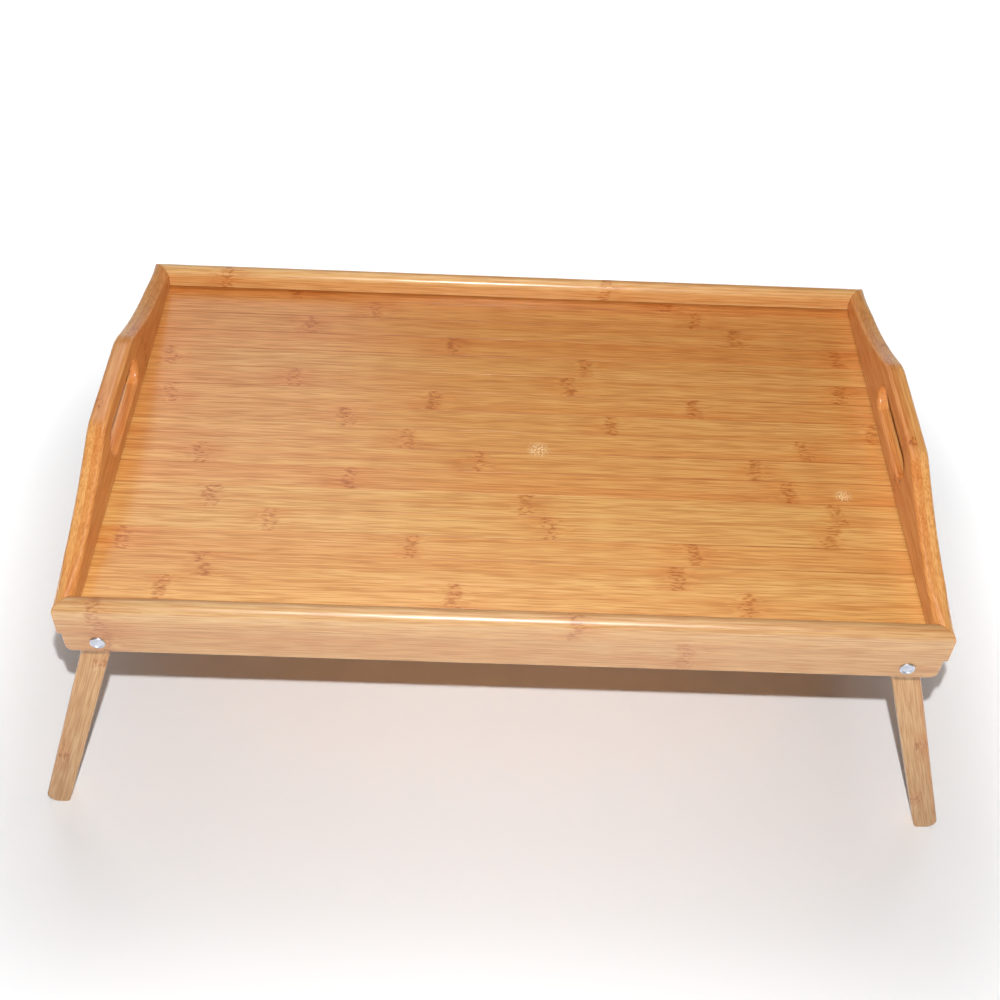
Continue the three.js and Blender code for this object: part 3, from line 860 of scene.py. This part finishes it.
def build_leg(side_name, side, end_name, end):
    middle_y = end * (LEG_LOW.y + LEG_HIGH.y) / 2
    piece = slab(f"{end_name}_{side_name}_leg", [leg_outline(side)], LEG_HIGH.y - LEG_LOW.y)
    piece.data.transform(Matrix.Translation((0, middle_y, 0)) @ DRAWN_IN_XZ)
    inward = end * (LEG_LOW.y - BOARD)
    socket_floor = end * (LEG_LOW.y + TENON_LENGTH + GAP)
    rivet_hole = bore("rivet_hole", 0, 0, BORE_R, inward, end * INNER_Y)
    socket = bore("socket", 0, -CROSSBAR_DOWN_LEG, TENON_R + GAP, inward, socket_floor)
    carve(piece, [rivet_hole, socket])
    lay_grain(piece, Z, X, LEG_LAMELLAE[f"{end_name}_{side_name}"], [0])
    piece.data.transform(in_leg_frame(side))
    smooth(piece)
    dress(piece, LEG_BAMBOO, f"{side_name}_leg_frame", "bamboo_leg", f"leg_{end_name}_{side_name}")


CROSSBAR_BAMBOO = {"left": lamella(25, 310, 0.3, 50), "right": lamella(25, 310, 0.3, 52)}


def build_crossbar(side_name, side):
    tip = CROSSBAR_TIP_Y
    shoulder = tip - TENON_LENGTH
    half = [
        (0, tip),
        (TENON_R - CROSSBAR_CHAMFER, tip),
        (TENON_R, tip - CROSSBAR_CHAMFER),
        (TENON_R, shoulder),
        (CROSSBAR_R - CROSSBAR_CHAMFER, shoulder),
        (CROSSBAR_R, shoulder - CROSSBAR_CHAMFER),
    ]
    piece = turned(f"{side_name}_crossbar", half + [(radius, -y) for radius, y in reversed(half)])
    lay_grain(piece, Y, X, [CROSSBAR_BAMBOO[side_name]])
    piece.data.transform(in_leg_frame(side) @ Matrix.Translation((0, 0, -CROSSBAR_DOWN_LEG)))
    smooth(piece)
    dress(piece, LEG_BAMBOO, f"{side_name}_leg_frame", "bamboo_leg", f"crossbar_{side_name}")


# ---- Fasteners -------------------------------------------------------------------------

def rivet_profile():
    """The back rail's rivet, from its dished head to the hollow end rolled over its washer."""
    top, foot = RIVET_HIGH.y, HALF_Y + HEAD_GAP
    clinch = INNER_WASHER_LOW.y - GAP
    roll_r = SHANK_R + ROLL_OUT
    return [
        (0, top - HEAD_DISH),
        (HEAD_R - 2 * HEAD_RIM_R, top - HEAD_DISH),
        *arc((HEAD_R - HEAD_RIM_R, top - HEAD_RIM_R), HEAD_RIM_R, 150, 0),
        (HEAD_R, foot + HEAD_ARRIS),
        (HEAD_R - HEAD_ARRIS, foot),
        (SHANK_R, foot),
        (SHANK_R, clinch),
        *arc((roll_r, RIVET_LOW.y + ROLL_R), ROLL_R, 0, -180),
        (roll_r - ROLL_R, clinch + HOLLOW),
        (0, clinch + HOLLOW + ROLL_R / 2),
    ]


def washer_profile(low, high):
    """The back rail's washer, between its box's corners, with all its edges broken."""
    radius = (high.x - low.x) / 2
    outer, inner = radius - WASHER_ARRIS, BORE_R + WASHER_ARRIS
    bottom, top = low.y + WASHER_ARRIS, high.y - WASHER_ARRIS
    return [
        (BORE_R, bottom), (inner, low.y), (outer, low.y), (radius, bottom),
        (radius, top), (outer, high.y), (inner, high.y), (BORE_R, top),
    ]


def nail_profile():
    """The back rail's pin nail, from its point to its head."""
    point, top = NAIL_LOW.y, NAIL_HIGH.y
    radius = (NAIL_HIGH.x - NAIL_LOW.x) / 2
    shaft = NAIL_SHAFT * radius
    return [
        (0, point),
        (shaft, point + NAIL_POINT),
        (shaft, top - NAIL_HEAD - NAIL_NECK),
        (radius, top - NAIL_HEAD),
        (radius, top),
        (0, top),
    ]


NO_KNUCKLES = lamella(0, 1000, 0, 0)    # metal reads only the place in its grain


def build_fastener(name, profile, x, z, end, material, slot, node):
    """A fastener turned for the back rail, and put at its end of the tray."""
    piece = turned(name, profile)
    half_turn = Matrix.Rotation(math.pi if end < 0 else 0, 4, "Z")
    lay_grain(piece, Y, X, [NO_KNUCKLES])
    piece.data.transform(Matrix.Translation((x, 0, z)) @ half_turn)
    smooth(piece)
    dress(piece, material, "tray", slot, node)


def build_corner_fasteners(side_name, side, end_name, end):
    """A corner's rivet, its two washers, and the two pin nails through the mitre."""
    corner_name = f"{end_name}_{side_name}"
    x, z = side * PIVOT.x, PIVOT.z
    build_fastener(f"rivet_{corner_name}", rivet_profile(), x, z, end,
                   RIVET_METAL, "rivet_aluminium", f"pivot_rivet_{corner_name}")
    washers = {
        "spacer_washer": washer_profile(SPACER_LOW, SPACER_HIGH),
        "rivet_washer": washer_profile(INNER_WASHER_LOW, INNER_WASHER_HIGH),
    }
    for kind, profile in washers.items():
        build_fastener(f"{kind}_ring_{corner_name}", profile, x, z, end,
                       WASHER_METAL, "washer_steel", f"{kind}_{corner_name}")
    for level in NAIL_LEVELS:
        node = f"pin_nail_{level}_{corner_name}"
        low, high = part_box(node)
        middle = (low + high) / 2
        build_fastener(f"nail_{level}_{corner_name}", nail_profile(), middle.x, middle.z, end,
                       PIN_METAL, "pin_steel", node)


# ---- Stage -----------------------------------------------------------------------------

FLOOR_R = 1.75
FLOOR_FACETS = 128
LIGHT_HEIGHT = 1.3
WASH_SPREAD = 20                # degrees

CAMERA_PLACE = (-0.01765, -0.63788, 0.82216)
CAMERA_PITCH = math.radians(43.7)       # up from straight down
CAMERA_ROLL = math.radians(2.87)
CAMERA_YAW = math.radians(-1.3)
CAMERA_LENS = 50.34             # millimetres, as is the sensor
CAMERA_SENSOR = 36


def build_floor():
    """A round, plain, pale floor."""
    bm = bmesh.new()
    bmesh.ops.create_circle(bm, cap_ends=True, segments=FLOOR_FACETS, radius=FLOOR_R)
    floor = new_piece("floor", bm)
    n = Nodes(bpy.data.materials.new("floor_paint"))
    mottle = n.noise(n.add("TexCoord").outputs["Object"], (3, 3, 3), detail=3)
    colour = n.blend(mottle, (0.94, 0.95, 0.96, 1), (0.96, 0.97, 0.98, 1))
    floor.data.materials.append(n.surface({"Base Color": colour, "Roughness": 0.75}))


def build_surround():
    """A dim ceiling that turns pale towards the horizon, as a studio's walls are."""
    n = Nodes(bpy.data.worlds.new("surround"))
    height = n.split(n.add("TexCoord").outputs["Generated"])[2]
    background = n.add("Background", {
        "Color": (0.95, 0.97, 1.0, 1), "Strength": n.fade(height, 0.0, 0.3, 0.8, 0.02),
    })
    n.feed(n.add("OutputWorld").inputs["Surface"], background.outputs[0])
    bpy.context.scene.world = n.owner


def add_light(name, place, target, size, power, spread=180):
    """A rectangular light that shines towards its target. The spread is in degrees."""
    data = bpy.data.lights.new(name, "AREA")
    data.shape = "RECTANGLE"
    data.size, data.size_y = size
    data.energy = power
    data.spread = math.radians(spread)
    light = bpy.data.objects.new(name, data)
    light.location = place
    light.rotation_euler = (Vector(target) - Vector(place)).to_track_quat("-Z", "Y").to_euler()
    light.visible_camera = False
    bpy.context.scene.collection.objects.link(light)


def add_wash(name, x, y, size, power):
    """A narrow light straight down on the floor beside the tray."""
    add_light(name, (x, y, LIGHT_HEIGHT), (x, y, 0), size, power, WASH_SPREAD)


def light_scene():
    """A small key over the front, soft boxes at the back left and overhead, and washes round
    the object that keep the floor pale."""
    tray_middle = (0, 0, PANEL_HIGH.z)
    add_light("key", (-0.012, -0.616, 0.904), tray_middle, (0.010, 0.010), 8.5)
    add_light("soft_box", (-0.5, 1.05, LIGHT_HEIGHT), tray_middle, (0.7, 0.55), 2.7)
    add_light("overhead", (0.1, 0.4, LIGHT_HEIGHT), tray_middle, (0.6, 0.5), 2.8)
    add_wash("wash_back", 0, 1.15, (3.6, 1.6), 16)
    add_wash("wash_front", 0, -1.05, (3.6, 1.4), 11)
    for side in SIDES.values():
        add_wash("wash_side", side * 1.12, 0, (1.3, 0.8), 7)


def place_camera():
    """The photo's camera, solved from the tray's corners in it."""
    data = bpy.data.cameras.new("camera")
    data.lens = CAMERA_LENS
    data.sensor_width = CAMERA_SENSOR
    camera = bpy.data.objects.new("camera", data)
    turn = Matrix.Rotation(CAMERA_YAW, 4, "Z") @ Matrix.Rotation(CAMERA_PITCH, 4, "X")
    turn = turn @ Matrix.Rotation(CAMERA_ROLL, 4, "Z")
    camera.matrix_world = Matrix.Translation(CAMERA_PLACE) @ turn
    bpy.context.scene.collection.objects.link(camera)
    bpy.context.scene.camera = camera


# ---- Assembly --------------------------------------------------------------------------

build_panel()
for end_name, end in ENDS.items():
    build_rail(end_name, end)
for side_name, side in SIDES.items():
    build_side_board(side_name, side)
    build_crossbar(side_name, side)
    for end_name, end in ENDS.items():
        build_leg(side_name, side, end_name, end)
        build_corner_fasteners(side_name, side, end_name, end)
build_floor()
build_surround()
light_scene()
place_camera()
bpy.context.scene.view_settings.view_transform = "Standard"
